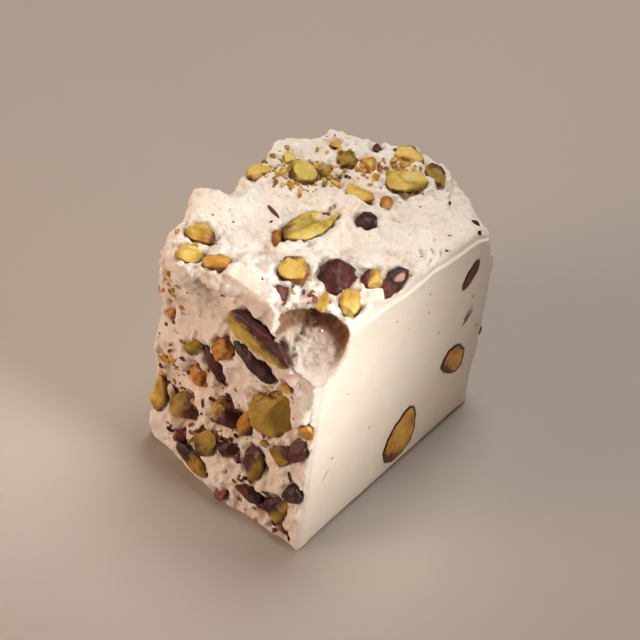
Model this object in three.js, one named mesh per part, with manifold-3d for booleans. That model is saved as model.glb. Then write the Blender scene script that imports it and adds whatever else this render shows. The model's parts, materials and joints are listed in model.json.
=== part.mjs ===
// A chunk of pistachio halva, cut and broken by hand from a larger block. Two upright sides, at +X and -X, were cut
// with a knife and are smooth. The other two and the top were torn, so they are lumpy and nuts stand out of them.
// Millimetres, +Z up, with the origin on the underside. The torn side with the most nuts is -Y.

import * as THREE from "three";
import { mergeVertices } from "three/addons/utils/BufferGeometryUtils.js";
import Module from "manifold-3d";

const wasm = await Module();
wasm.setup();

// ---- Driving dimensions of the chunk ----

// The corners before their edges are worn round. The four at +X lie in one knife cut, and so do the four at -X.
const KNIFE_SIDE_X = 21.5;
const CORNERS = {
  foot: {
    frontLeft: [-21.5, -26.4, 0],
    frontRight: [KNIFE_SIDE_X, -29, 0],
    backLeft: [-20.5, 24.5, 0],
    backRight: [KNIFE_SIDE_X, 23, 0],
  },
  crown: {
    frontLeft: [-20.3, -20.5, 57],
    frontRight: [KNIFE_SIDE_X, -21, 57],
    backLeft: [-19.45, 25, 54.4],
    backRight: [KNIFE_SIDE_X, 30.2, 49.8],
  },
};
const HALF_SIZE = new THREE.Vector3(21.5, 26.5, 28.5);
const FOOT_WEAR = 0.8; // how round the edges are at the foot
const CROWN_WEAR = 2.6; // and at the top

// Where a torn surface swells or sinks: the middle of the place, how far it reaches, and how far it is pushed.
const SWELLS = [
  { what: "brow over the torn side", at: [-12, -21, 55], reach: 10, push: [0, -3, 0.6] },
  { what: "lip of the left edge", at: [-20.5, -9.5, 55], reach: 7, push: [-2.6, 0, 0.8] },
  { what: "notch behind the lip", at: [-19.5, -3.5, 56], reach: 4.5, push: [1.4, 0, -1.4] },
  { what: "knob on the left edge", at: [-20, 12.5, 54], reach: 7, push: [-2.2, 0, 0.7] },
  { what: "worn corner at the back left", at: [-19.5, 26, 53], reach: 11, push: [3.6, -1.2, -0.4] },
  { what: "belly of the back", at: [1, 26, 46], reach: 22, push: [0, 4.8, 0.8] },
  { what: "bow of the back right corner", at: [21.5, 25, 28], reach: 20, push: [0, 1.6, 0] },
  { what: "spread foot of the torn side", at: [-2, -27.5, 1], reach: 22, push: [0, -2, 0] },
  { what: "ledge across the torn side", at: [16, -24, 39], reach: 9, push: [0, -1.6, 0] },
  { what: "hollow beside the ledge", at: [-3, -21.5, 48], reach: 9, push: [0, 1.4, 0] },
  { what: "bulge low on the torn side", at: [-17, -26, 29], reach: 8, push: [-1.2, -0.8, 0] },
];

// The chip that broke out of the front corner at the top: a hollow with steep walls, centred in the knife cut.
const CHIP_CENTRE = new THREE.Vector3(KNIFE_SIDE_X, -26.5, 60);
const CHIP_RADII = new THREE.Vector3(12, 13, 15);
const CHIP_STEEPNESS = 3; // 2 would be an ellipsoid

// The lumps of the torn surfaces are a few waves that cross, each shorter and lower than the one before.
const LUMPS = { count: 7, longest: 19, tallest: 0.36, shorter: 0.84, lower: 0.92 };

const CHUNK_STEPS = [16, 20, 20]; // grid steps across the chunk in X, Y and Z
const EDGE_CROWDING = 0.72; // 0 spaces the grid evenly, 1 packs it to the edges

// ---- Nuts ----

const POCKET_GAP = 0.3; // clearance between a nut and its socket
const FLOOR_GAP = 0.3; // how far nuts stay above the underside
// Facets round a nut and from tip to tip: a nut as long as BIG_NUT has finer ones.
const BIG_NUT = 9;
const BIG_NUT_FACETS = [8, 6];
const NUT_FACETS = [7, 4];

// Each face: its outward direction, and the two directions in which places on it are measured.
const FACES = {
  top: { out: [0, 0.11, 0.99], across: [1, 0, 0], up: [0, 1, 0] },
  torn: { out: [0, -0.98, 0.16], across: [1, 0, 0], up: [0, 0, 1] },
  knife: { out: [1, 0, 0], across: [0, 1, 0], up: [0, 0, 1] },
  left: { out: [-1, 0.02, 0.019], across: [0, 1, 0], up: [0, 0, 1] },
  back: { out: [0, 1, 0], across: [1, 0, 0], up: [0, 0, 1] },
};

// Forms: whole kernels are egg-shaped, halves are split flat, shards are broken across, and flakes are bits of skin.
// Each row: across, up, length, width, turn in degrees, form, finish.
const NUTS = {
  top: [
    [-1.4, 0.9, 13.3, 6.2, 82, "half", "green"],
    [11.1, -5.9, 9.6, 7.8, -50, "whole", "purple"],
    [3.5, 22.3, 8.7, 6.4, 34, "half", "green"],
    [-11.8, 9.6, 8, 5.8, -52, "shard", "green"],
    [5, -10.8, 7.2, 5.8, 17, "shard", "gold"],
    [-14.4, -15.9, 7.7, 4.6, 2, "half", "gold"],
    [-12, -21.2, 6, 4, 20, "shard", "gold"],
    [-6.2, -19.4, 6.2, 3.8, 34, "shard", "amber"],
    [-0.2, 13.5, 6.6, 4.2, 5, "half", "gold"],
    [-8, 18.4, 5.4, 4, -55, "shard", "olive"],
    [-0.9, 28.4, 6.9, 4.8, 19, "whole", "gold"],
    [6.4, 28, 7.7, 3.6, -20, "half", "olive"],
    [5.2, 9.3, 5, 4.4, -25, "shard", "purple"],
    [16.4, -2.3, 6.4, 4.4, -60, "shard", "gold"],
    [19, 0.6, 12, 3.4, -78, "shard", "purple"],
    [17.2, -9.2, 8.4, 4.4, -59, "half", "gold"],
    [-18, 4, 6.4, 3.6, 79, "shard", "gold"],
  ],
  torn: [
    [6.8, 48, 16.4, 7, -8, "half", "green"],
    [11.2, 31.6, 14.8, 9, 58, "whole", "olive"],
    [6.2, 41.2, 11.8, 4, -19, "flake", "purple"],
    [-2.4, 38.8, 7.6, 4.8, 56, "shard", "amber"],
    [-8.8, 25.8, 7.2, 5.6, 77, "whole", "amber"],
    [-4.8, 32.1, 9.2, 3, -52, "flake", "purple"],
    [-19, 13.2, 10.8, 4.2, 89, "half", "gold"],
    [-11.9, 14.2, 10.2, 6.9, 56, "whole", "olive"],
    [-0.4, 22, 9.6, 6.6, 62, "shard", "green"],
    [4.6, 23, 8.6, 4, 88, "half", "amber"],
    [-4.6, 11.8, 8.8, 5.6, 57, "half", "olive"],
    [1.2, 14, 7, 4, 46, "shard", "purple"],
    [14.4, 22.4, 7.8, 4.8, 57, "half", "olive"],
    [18.2, 27, 7.4, 3.8, 84, "shard", "purple"],
    [7.6, 14.4, 9, 4.4, -89, "half", "olive"],
    [-8.2, 3.6, 9.6, 5, -19, "half", "olive"],
    [18.8, 14.8, 7.4, 4.2, 62, "shard", "purple"],
    [8.4, 6.8, 9, 3.4, 14, "shard", "purple"],
    [14.4, 7, 9.4, 5.2, 58, "half", "olive"],
  ],
  knife: [
    [2, 8.9, 14.3, 9.4, 69, "whole", "amber"],
    [17.7, 17.9, 9.2, 6.4, -67, "whole", "amber"],
    [21.8, 40.7, 8, 3.2, 52, "flake", "purple"],
  ],
  left: [
    [8, 19, 13, 8, 50, "whole", "amber"],
    [-12, 38, 9.6, 6, -35, "whole", "green"],
    [13, 43, 7.6, 4.4, 70, "whole", "gold"],
  ],
};

// The back is filled by rule: nuts on a loose grid, each shifted, sized and turned by a seeded draw.
const BACK_ROWS = 4;
const BACK_COLUMNS = 3;
const BACK_SPACING = [11.5, 11]; // across, up
const BACK_FIRST = [-8.5, 7]; // the lowest nut at the left
const BACK_SHIFT = 2.6;
const BACK_LENGTHS = [6, 12.5];
const BACK_FORMS = ["half", "whole", "shard", "shard"];
const BACK_FINISHES = ["green", "olive", "gold", "amber", "purple"];

// Chips too small to be pieces of their own are one body with the halva. Each row: across, up, length, turn.
const CHIPS = {
  top: [
    [-13.1, 20.6, 4.2, -55],
    [-16.4, 10.6, 3.6, -51],
    [-9.2, 13.6, 3.6, -52],
    [-3.4, -6.6, 3.8, -50],
    [6.6, -16, 4.6, -61],
    [13.6, -12.7, 4.6, -51],
    [4.1, 15.9, 3.8, -50],
    [-4.6, 20.6, 4.4, -50],
    [-6.6, 25.6, 2.8, -64],
  ],
  torn: [
    [-9.8, 34.4, 5.2, 67],
    [-12.4, 7.2, 4.6, 53],
    [20, 33, 4.2, 80],
    [1.8, 2.4, 4.2, 15],
    [-16.6, 50, 4.2, 80],
    [-16.8, 37, 3, 70],
    [-17.4, 24.6, 3, 20],
    [14.1, 40.6, 2.4, 0],
    [16.6, 2.2, 3.6, 44],
  ],
  back: [
    [-13, 13, 4, 30],
    [-3, 31.5, 4.2, -40],
    [8.6, 12.4, 4, 60],
    [15.6, 22, 4.4, 10],
    [9.4, 44.6, 3.8, -70],
    [-11, 46.5, 4, 45],
  ],
};

const FINISHES = {
  halva: { color: 0xe4d3bb, roughness: 0.82, metalness: 0 },
  green: { color: 0xb9a23c, roughness: 0.5, metalness: 0 },
  olive: { color: 0x8a7428, roughness: 0.5, metalness: 0 },
  gold: { color: 0xcf9d3c, roughness: 0.5, metalness: 0 },
  amber: { color: 0xa8712a, roughness: 0.5, metalness: 0 },
  purple: { color: 0x4f2823, roughness: 0.45, metalness: 0 },
};

// ---- Solids ----

function solidOf(geometry) {
  const bare = geometry.clone();
  bare.deleteAttribute("normal");
  bare.deleteAttribute("uv");
  const merged = mergeVertices(bare, 1e-4);
  return new wasm.Manifold(
    new wasm.Mesh({
      numProp: 3,
      vertProperties: merged.attributes.position.array,
      triVerts: new Uint32Array(merged.index.array),
    }),
  );
}

function geometryOf(solid) {
  const { vertProperties, triVerts } = solid.getMesh();
  const geometry = new THREE.BufferGeometry();
  geometry.setAttribute("position", new THREE.BufferAttribute(vertProperties, 3));
  geometry.setIndex(new THREE.BufferAttribute(triVerts, 1));
  geometry.computeVertexNormals();
  return geometry;
}

// A cut can leave loose scraps, which are dropped.
function largestBody(solid) {
  const bodies = solid.decompose();
  return bodies.reduce((best, body) => (body.volume() > best.volume() ? body : best));
}

// Moves every vertex of a geometry by a function of its place.
function reshape(geometry, moved) {
  const places = geometry.attributes.position;
  const place = new THREE.Vector3();
  for (let i = 0; i < places.count; i++) {
    place.copy(moved(place.fromBufferAttribute(places, i)));
    places.setXYZ(i, place.x, place.y, place.z);
  }
  return geometry;
}

// ---- The chunk ----

// The place inside the eight corners that a point of the cube from 0 to 1 stands for.
function withinCorners(point) {
  const between = (a, b, share) => new THREE.Vector3().lerpVectors(a, b, share);
  const [foot, crown] = [CORNERS.foot, CORNERS.crown].map((ring) => {
    const [frontLeft, frontRight, backLeft, backRight] = [
      ring.frontLeft,
      ring.frontRight,
      ring.backLeft,
      ring.backRight,
    ].map((corner) => new THREE.Vector3(...corner));
    const front = between(frontLeft, frontRight, point.x);
    const back = between(backLeft, backRight, point.x);
    return between(front, back, point.y);
  });
  return between(foot, crown, point.z);
}

function lumpHeight(place) {
  let height = 0;
  for (let i = 0; i < LUMPS.count; i++) {
    const heading = new THREE.Vector3(Math.cos(2.4 * i), Math.sin(2.4 * i), Math.sin(1.3 * i + 0.5));
    heading.normalize();
    const length = LUMPS.longest * LUMPS.shorter ** i;
    const phase = 1.9 * i;
    height += LUMPS.tallest * LUMPS.lower ** i * Math.sin((2 * Math.PI * heading.dot(place)) / length + phase);
  }
  return height;
}

function swollen(place) {
  const moved = place.clone();
  for (const { at, reach, push } of SWELLS) {
    const near = Math.max(0, 1 - place.distanceTo(new THREE.Vector3(...at)) / reach);
    moved.addScaledVector(new THREE.Vector3(...push), near * near * (3 - 2 * near));
  }
  return moved;
}

// A point inside the chip's hollow goes out to its wall.
function chipped(place) {
  const fromCentre = place.clone().sub(CHIP_CENTRE).divide(CHIP_RADII);
  const powers = fromCentre.toArray().map((v) => Math.abs(v) ** CHIP_STEEPNESS);
  const distance = (powers[0] + powers[1] + powers[2]) ** (1 / CHIP_STEEPNESS);
  if (distance >= 1) return place;
  return fromCentre.divideScalar(distance).multiply(CHIP_RADII).add(CHIP_CENTRE);
}

// The chunk's surface over a point of the cube from -1 to 1.
function chunkSurface(point) {
  const crowded = (v) => Math.sin((v * EDGE_CROWDING * Math.PI) / 2) / Math.sin((EDGE_CROWDING * Math.PI) / 2);
  const onBox = new THREE.Vector3(crowded(point.x), crowded(point.y), crowded(point.z));
  const wear = THREE.MathUtils.lerp(FOOT_WEAR, CROWN_WEAR, (onBox.z + 1) / 2);
  onBox.multiply(HALF_SIZE);
  const core = HALF_SIZE.clone().subScalar(wear);
  const onCore = onBox.clone().clamp(core.clone().negate(), core);
  const out = onBox.sub(onCore).normalize();
  const share = onCore.addScaledVector(out, wear).divide(HALF_SIZE).addScalar(1).divideScalar(2);
  const place = withinCorners(share);
  const torn = out.y ** 2 + Math.max(out.z, 0) ** 2;
  out.z = Math.max(out.z, 0);
  const lumpy = swollen(place).addScaledVector(out, torn * lumpHeight(place));
  return chipped(lumpy);
}

const chunk = reshape(new THREE.BoxGeometry(2, 2, 2, ...CHUNK_STEPS), chunkSurface);

// ---- Nuts and chips ----

function seededDraw(seed) {
  let state = seed;
  return () => {
    state = (state * 16807) % 2147483647;
    return state / 2147483647;
  };
}

function backNuts() {
  const draw = seededDraw(20);
  const rows = [];
  for (let row = 0; row < BACK_ROWS; row++) {
    for (let column = 0; column < BACK_COLUMNS; column++) {
      const stagger = row % 2 ? BACK_SPACING[0] / 3 : 0;
      const across = BACK_FIRST[0] + column * BACK_SPACING[0] + stagger + BACK_SHIFT * (draw() - 0.5);
      const up = BACK_FIRST[1] + row * BACK_SPACING[1] + BACK_SHIFT * (draw() - 0.5);
      const length = THREE.MathUtils.lerp(...BACK_LENGTHS, draw() ** 1.5);
      const width = length * (0.45 + 0.2 * draw());
      const form = BACK_FORMS[Math.floor(draw() * BACK_FORMS.length)];
      const finish = BACK_FINISHES[Math.floor(draw() * BACK_FINISHES.length)];
      rows.push([across, up, length, width, 180 * draw() - 90, form, finish]);
    }
  }
  return rows;
}

// How each form differs: thickness as a share of the width, how far it stands out as a share of its thickness, how
// pointed it is, and where its upper side and its end are broken off, as shares of the half height and half length.
const FORMS = {
  whole: { thickness: 0.86, proud: 0.3, taper: 0.26, flatTop: 1, brokenEnd: 1 },
  half: { thickness: 0.8, proud: 0.2, taper: 0.3, flatTop: 0.25, brokenEnd: 1 },
  shard: { thickness: 0.8, proud: 0.32, taper: 0.12, flatTop: 0.72, brokenEnd: 0.6 },
  flake: { thickness: 0.5, proud: 0.34, taper: 0.1, flatTop: 1, brokenEnd: 0.85 },
};
const KNIFE_PROUD = 0.5; // nuts that the knife sliced stood this far out before the cut

// A nut along X, lying with its upper side to +Z. gap makes it larger all round, for its socket.
function nutGeometry(length, width, form, seed, gap) {
  const { thickness, taper, flatTop, brokenEnd } = FORMS[form];
  const half = new THREE.Vector3(length, width, width * thickness).divideScalar(2);
  const knobbly = (v) =>
    1 + 0.05 * Math.sin(4.3 * v.x + seed) * Math.cos(3.7 * v.y + 2 * seed) + 0.04 * Math.sin(5 * v.z + seed);
  const facets = length >= BIG_NUT ? BIG_NUT_FACETS : NUT_FACETS;
  return reshape(new THREE.SphereGeometry(1, ...facets).rotateZ(Math.PI / 2), (v) => {
    const narrow = 1 - taper * v.x - 0.12 * v.x * v.x;
    const size = knobbly(v);
    const end = brokenEnd + 0.18 * Math.sin(seed) * v.y;
    return new THREE.Vector3(
      Math.min(v.x * size, end) * half.x + gap * v.x,
      v.y * narrow * size * half.y + gap * v.y,
      Math.min(v.z * narrow * size, flatTop) * half.z + gap * v.z,
    );
  });
}

function chipGeometry(length) {
  return new THREE.IcosahedronGeometry(1, 0).scale(length / 2, length / 3, length / 4);
}

// Turns and moves a piece on to a face. sink is how deep the piece's middle lies below the surface there.
function placeOnFace(faceName, across, up, turn, sink) {
  const face = FACES[faceName];
  const out = new THREE.Vector3(...face.out).normalize();
  const angle = THREE.MathUtils.degToRad(turn);
  const along = new THREE.Vector3(...face.across)
    .multiplyScalar(Math.cos(angle))
    .addScaledVector(new THREE.Vector3(...face.up), Math.sin(angle));
  along.addScaledVector(out, -along.dot(out)).normalize();
  const side = new THREE.Vector3().crossVectors(out, along);
  const reach = 100;
  const axis = new THREE.Vector3(...face.across).cross(new THREE.Vector3(...face.up));
  axis.multiplyScalar(Math.sign(axis.dot(out)));
  const from = new THREE.Vector3(...face.across)
    .multiplyScalar(across)
    .addScaledVector(new THREE.Vector3(...face.up), up)
    .addScaledVector(axis, reach);
  const ray = new THREE.Raycaster(from, axis.clone().negate());
  const surface = new THREE.Mesh(chunk, new THREE.MeshBasicMaterial({ side: THREE.DoubleSide }));
  const [hit] = ray.intersectObject(surface);
  const middle = hit.point.clone().addScaledVector(out, -sink);
  return new THREE.Matrix4().makeBasis(along, side, out).setPosition(middle);
}

// Everything between the two knife cuts and above the floor gap: what is left of a nut that the knife sliced.
function betweenKnives() {
  const lowest = FLOOR_GAP / CORNERS.crown.backRight[2];
  return solidOf(
    reshape(new THREE.BoxGeometry(1, 2, 1).translate(0.5, 0.5, 0.5), (share) => {
      share.z = share.z > 0 ? 1.4 : lowest;
      return withinCorners(share);
    }),
  );
}

const material = Object.fromEntries(
  Object.entries(FINISHES).map(([name, look]) => [name, new THREE.MeshStandardMaterial({ name, ...look })]),
);

const halva = new THREE.Group();
halva.name = "pistachio_halva";

const slab = betweenKnives();
const sockets = [];
let seed = 1;
for (const [faceName, rows] of Object.entries({ ...NUTS, back: backNuts() })) {
  const sliced = faceName === "knife" || faceName === "left";
  rows.forEach(([across, up, length, width, turn, form, finish], index) => {
    const { thickness, proud, flatTop } = FORMS[form];
    const height = width * thickness;
    const top = (height / 2) * Math.min(flatTop, 1);
    const sink = top - height * (sliced ? KNIFE_PROUD : proud);
    const placing = placeOnFace(faceName, across, up, turn, sink);
    let nut = solidOf(nutGeometry(length, width, form, seed, 0).applyMatrix4(placing)).intersect(slab);
    for (const socket of sockets) nut = nut.subtract(socket);
    sockets.push(solidOf(nutGeometry(length, width, form, seed, POCKET_GAP).applyMatrix4(placing)));
    const mesh = new THREE.Mesh(geometryOf(largestBody(nut)), material[finish]);
    mesh.name = `pistachio_${faceName}_${String(index + 1).padStart(2, "0")}`;
    halva.add(mesh);
    seed++;
  });
}

let body = solidOf(chunk);
for (const [faceName, rows] of Object.entries(CHIPS)) {
  for (const [across, up, length, turn] of rows) {
    const placing = placeOnFace(faceName, across, up, turn, 0);
    body = body.add(solidOf(chipGeometry(length).applyMatrix4(placing)));
  }
}
for (const socket of sockets) body = body.subtract(socket);
const bodyMesh = new THREE.Mesh(geometryOf(largestBody(body)), material.halva);
bodyMesh.name = "halva";
halva.add(bodyMesh);

export default halva;
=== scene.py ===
"""A hand-cut block of pistachio halva: pale sesame and sugar paste, pressed with whole and broken kernels.

Lengths are in millimetres, and MM turns them to metres. The block stands on Z = 0. +X and -X were cut with a
knife, and the top, the front (-Y) and the back (+Y) were torn.
"""

import json
import math
import random

import bmesh
import bpy
import numpy as np
from mathutils import Matrix, Vector, bvhtree, kdtree, noise


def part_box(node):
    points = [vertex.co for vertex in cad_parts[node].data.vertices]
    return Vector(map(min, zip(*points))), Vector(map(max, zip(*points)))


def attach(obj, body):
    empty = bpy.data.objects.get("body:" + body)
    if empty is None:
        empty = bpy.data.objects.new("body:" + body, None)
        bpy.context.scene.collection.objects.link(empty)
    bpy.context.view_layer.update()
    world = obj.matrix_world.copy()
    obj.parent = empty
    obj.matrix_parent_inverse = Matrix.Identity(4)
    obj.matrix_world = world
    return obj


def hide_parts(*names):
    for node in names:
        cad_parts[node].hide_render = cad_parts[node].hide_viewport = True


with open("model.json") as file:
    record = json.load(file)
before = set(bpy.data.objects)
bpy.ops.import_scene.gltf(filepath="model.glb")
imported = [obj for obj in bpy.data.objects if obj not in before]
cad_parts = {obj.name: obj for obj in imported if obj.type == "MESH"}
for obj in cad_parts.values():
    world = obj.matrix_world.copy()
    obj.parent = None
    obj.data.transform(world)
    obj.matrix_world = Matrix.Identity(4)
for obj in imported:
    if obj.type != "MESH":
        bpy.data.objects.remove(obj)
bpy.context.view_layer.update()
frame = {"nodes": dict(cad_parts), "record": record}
bpy.ops.object.select_all(action="DESELECT")

# ---- The block's form ----
# The paste was pressed into a slab and cut with a knife into bars. The bar was then broken by hand, so that
# two sides are smooth cuts, and the other two and the top are torn.

MM = 0.001
KNIFE_SIDE_X = 21.5
FOOT_CORNERS = {
    "front": ([-21.5, -26.4, 0], [KNIFE_SIDE_X, -29, 0]),
    "back": ([-20.5, 24.5, 0], [KNIFE_SIDE_X, 23, 0]),
}
CROWN_CORNERS = {
    "front": ([-20.3, -20.5, 57], [KNIFE_SIDE_X, -21, 57]),
    "back": ([-19.45, 25, 54.4], [KNIFE_SIDE_X, 30.2, 49.8]),
}
HALF_SIZE = np.array([21.5, 26.5, 28.5])  # of the cube before its corners are moved
FOOT_WEAR = 0.8  # how round the edges are worn at the foot, and at the crown
CROWN_WEAR = 2.6

# Each swelling or hollow of the torn sides: its middle, its reach and how far it is pushed.
SWELLS = [
    ((-12, -21, 55), 10, (0, -3, 0.6)),  # brow over the torn side
    ((-20.5, -9.5, 55), 7, (-2.6, 0, 0.8)),  # lip of the left edge
    ((-19.5, -3.5, 56), 4.5, (1.4, 0, -1.4)),  # notch behind the lip
    ((-20, 12.5, 54), 7, (-2.2, 0, 0.7)),  # knob on the left edge
    ((-19.5, 26, 53), 11, (3.6, -1.2, -0.4)),  # worn corner at the back left
    ((1, 26, 46), 22, (0, 4.8, 0.8)),  # belly of the back
    ((21.5, 25, 28), 20, (0, 1.6, 0)),  # bow of the back right corner
    ((-2, -27.5, 1), 22, (0, -2, 0)),  # spread foot of the torn side
    ((16, -24, 39), 9, (0, -1.6, 0)),  # ledge across the torn side
    ((-3, -21.5, 48), 9, (0, 1.4, 0)),  # hollow beside the ledge
    ((-17, -26, 29), 8, (-1.2, -0.8, 0)),  # bulge low on the torn side
]
# Rows of low lumps run over the torn sides, each row shorter and lower than the last, and turned from it.
LUMP_ROWS = 7
LONGEST_LUMP = 19
TALLEST_LUMP = 0.36
LUMP_SHORTER = 0.84
LUMP_LOWER = 0.92
LUMP_TURN = 2.4
CHIP_CENTRE = np.array([KNIFE_SIDE_X, -26.5, 60])
CHIP_RADII = np.array([12, 13, 15])
CHIP_STEEPNESS = 3


def smooth_step(share):
    share = np.clip(share, 0, 1)
    return share * share * (3 - 2 * share)


def between(one, other, share):
    return np.array(one) * (1 - share) + np.array(other) * share


def block_surface(cube):
    """Where points of the cube from -1 to 1 lie on the block, in millimetres."""
    wear = FOOT_WEAR + (CROWN_WEAR - FOOT_WEAR) * (cube[:, 2:] + 1) / 2
    on_box = cube * HALF_SIZE
    core = HALF_SIZE - wear
    on_core = np.clip(on_box, -core, core)
    out = on_box - on_core
    out /= np.linalg.norm(out, axis=1, keepdims=True)
    share = ((on_core + out * wear) / HALF_SIZE + 1) / 2
    levels = []
    for corners in (FOOT_CORNERS, CROWN_CORNERS):
        front, back = (between(*corners[side], share[:, :1]) for side in ("front", "back"))
        levels.append(between(front, back, share[:, 1:2]))
    place = between(*levels, share[:, 2:])
    out[:, 2] = np.maximum(out[:, 2], 0)
    torn = out[:, 1] ** 2 + out[:, 2] ** 2
    moved = place.copy()
    for at, reach, push in SWELLS:
        near = smooth_step(1 - np.linalg.norm(place - np.array(at), axis=1) / reach)
        moved += near[:, None] * np.array(push)
    height = np.zeros(len(place))
    for i in range(LUMP_ROWS):
        heading = np.array([math.cos(LUMP_TURN * i), math.sin(LUMP_TURN * i), math.sin(1.3 * i + 0.5)])
        heading /= np.linalg.norm(heading)
        length = LONGEST_LUMP * LUMP_SHORTER**i
        tallness = TALLEST_LUMP * LUMP_LOWER**i
        height += tallness * np.sin(2 * math.pi * (place @ heading) / length + 1.9 * i)
    return moved + out * (torn * height)[:, None]


def points_of(piece):
    flat = np.empty(3 * len(piece.data.vertices))
    piece.data.vertices.foreach_get("co", flat)
    return flat.reshape(-1, 3) / MM


def move_points(piece, points):
    piece.data.vertices.foreach_set("co", (np.asarray(points) * MM).ravel())
    piece.data.update()


def normals_of(piece):
    flat = np.empty(3 * len(piece.data.vertices))
    piece.data.vertex_normals.foreach_get("vector", flat)
    return flat.reshape(-1, 3)


def store(piece, name, values):
    """Keeps one number, or one vector, for each vertex, for the materials to read."""
    values = np.asarray(values, np.float32)
    kind, field = ("FLOAT", "value") if values.ndim == 1 else ("FLOAT_VECTOR", "vector")
    piece.data.attributes.new(name, kind, "POINT").data.foreach_set(field, values.ravel())


def finish_with(piece, kind, **settings):
    """Adds a modifier to the piece and applies it."""
    bpy.context.view_layer.objects.active = piece
    modifier = piece.modifiers.new(kind.lower(), kind)
    for name, value in settings.items():
        setattr(modifier, name, value)
    bpy.ops.object.modifier_apply(modifier=modifier.name)


def roughen(piece, grain, depth, group="", lie=None, **settings):
    """Displaces a piece by a cloudy noise with grains of so many millimetres, or units of the matrix lie."""
    texture = bpy.data.textures.new("relief", "CLOUDS")
    texture.noise_scale = grain * MM if lie is None else grain
    for name, value in settings.items():
        setattr(texture, name, value)
    placing = {"texture_coords": "LOCAL"}
    if lie is not None:
        guide = bpy.data.objects.new("guide", None)
        bpy.context.collection.objects.link(guide)
        guide.matrix_world = lie
        bpy.context.view_layer.update()
        placing = {"texture_coords": "OBJECT", "texture_coords_object": guide}
    finish_with(piece, "DISPLACE", texture=texture, strength=depth * MM, vertex_group=group, **placing)
    bpy.data.textures.remove(texture)
    if lie is not None:
        bpy.data.objects.remove(guide)


def weigh(piece, name, weights):
    """Makes a vertex group, with the weights rounded to hundredths."""
    group = piece.vertex_groups.new(name=name)
    steps = np.round(np.clip(weights, 0, 1) * 100).astype(int)
    for step in np.unique(steps):
        group.add(np.flatnonzero(steps == step).tolist(), step / 100, "REPLACE")


# The mesh is a cube in coarse steps. Its torn faces, the band along every edge and what lies round a kernel
# in the cut sides are cut finer, and then every vertex goes to its place on the block.
COARSE_STEPS = 38
FINER = 4
EDGE_BAND = 0.1
KERNEL_MARGIN = 1.4
sliced = [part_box(name) for name in frame["nodes"] if name.startswith(("pistachio_knife", "pistachio_left"))]

bpy.ops.mesh.primitive_cube_add(size=2)
block = bpy.context.object
block.name = "halva_block"
bpy.context.tool_settings.mesh_select_mode = (False, False, True)
bpy.ops.object.mode_set(mode="EDIT")
bpy.ops.mesh.subdivide(number_cuts=COARSE_STEPS - 1)
cells = bmesh.from_edit_mesh(block.data)
centres = np.array([face.calc_center_median() for face in cells.faces])
places = block_surface(centres)
for face, centre, place in zip(cells.faces, centres, places):
    torn_face = abs(face.normal.y) > 0.5 or face.normal.z > 0.5
    side_band = abs(face.normal.x) > 0.5 and (abs(centre[1]) > 1 - EDGE_BAND or centre[2] > 1 - EDGE_BAND)
    round_kernel = any(
        all(low[i] / MM - KERNEL_MARGIN < place[i] < high[i] / MM + KERNEL_MARGIN for i in range(3))
        for low, high in sliced
    )
    face.select_set(bool(torn_face or side_band or round_kernel))
bmesh.update_edit_mesh(block.data)
bpy.ops.mesh.subdivide(number_cuts=FINER - 1)
bpy.ops.object.mode_set(mode="OBJECT")
move_points(block, block_surface(points_of(block) * MM))

# The chip that broke out of the front corner at the top is cut with a rounded box.
CUTTER_STEPS = 70
bpy.ops.mesh.primitive_cube_add(size=2)
cutter = bpy.context.object
bpy.ops.object.mode_set(mode="EDIT")
bpy.ops.mesh.subdivide(number_cuts=CUTTER_STEPS)
bpy.ops.object.mode_set(mode="OBJECT")
towards = points_of(cutter) * MM
distance = (np.abs(towards) ** CHIP_STEEPNESS).sum(axis=1, keepdims=True) ** (1 / CHIP_STEEPNESS)
move_points(cutter, CHIP_CENTRE + CHIP_RADII * towards / distance)
finish_with(block, "BOOLEAN", object=cutter, operation="DIFFERENCE", solver="EXACT")
bpy.data.objects.remove(cutter)

# ---- The pistachio kernels ----
# Shelled kernels were stirred into the paste, some whole and some split or broken. Their flesh is waxy and
# from green to amber, wrinkled along its length, and a papery purple-brown skin clings to parts of it.

# Each finish: its flesh in light, middle and deep colours, and the brown that it has beside the skin.
FLESH = {
    "pistachio_green": ("#E4CE70", "#BEA034", "#8E7620", "#6A4014"),
    "pistachio_olive": ("#BE9C30", "#8C6E12", "#5A4408", "#45240A"),
    "pistachio_gold": ("#E4C868", "#CC9E38", "#A07222", "#7A4414"),
    "pistachio_amber": ("#DEAA4A", "#C08022", "#905614", "#67300C"),
    "pistachio_skin": ("#9C5648", "#643230", "#38191A", "#34161A"),
}
SKIN_COLOURS = ("#562418", "#34120E", "#190706", "#662014")
PASTE_SMEAR = "#E6D0B6"
# Kernels on which the skin clings to one side: where it lies, as across and up on the kernel's face, and how
# far it reaches over the kernel, from -1 for none to 1 for all.
SKIN_SIDES = {
    "torn_01": (0.3, 1, -0.12),
    "torn_02": (0.9, -0.3, -0.65),
    "torn_08": (0.8, 0.4, -0.3),
    "top_12": (0.2, 0.9, -0.4),
    "top_05": (-1, 0, -0.4),
    "top_14": (-0.7, -0.6, -0.3),
    "top_16": (-0.4, -0.8, -1),
    "top_04": (-0.7, -0.7, -0.6),
    "top_01": (-0.9, -0.4, -0.9),
    "knife_01": (-0.6, -0.7, -0.75),
    "knife_02": (-0.8, -0.5, -0.5),
    # torn_09's dark skin over most of it is partly its own skin and partly painted shade between the kernels.
    "torn_09": (0.7, -0.4, 0.15),
    "torn_11": (-0.3, -0.8, -0.5),
    "torn_13": (0.7, 0.6, -0.45),
    "torn_15": (-0.8, 0.3, -0.05),
    "torn_19": (-0.6, 0.5, 0.05),
    "torn_10": (0.8, -0.4, -0.45),
    "torn_16": (-0.6, 0.4, -0.15),
}
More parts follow.
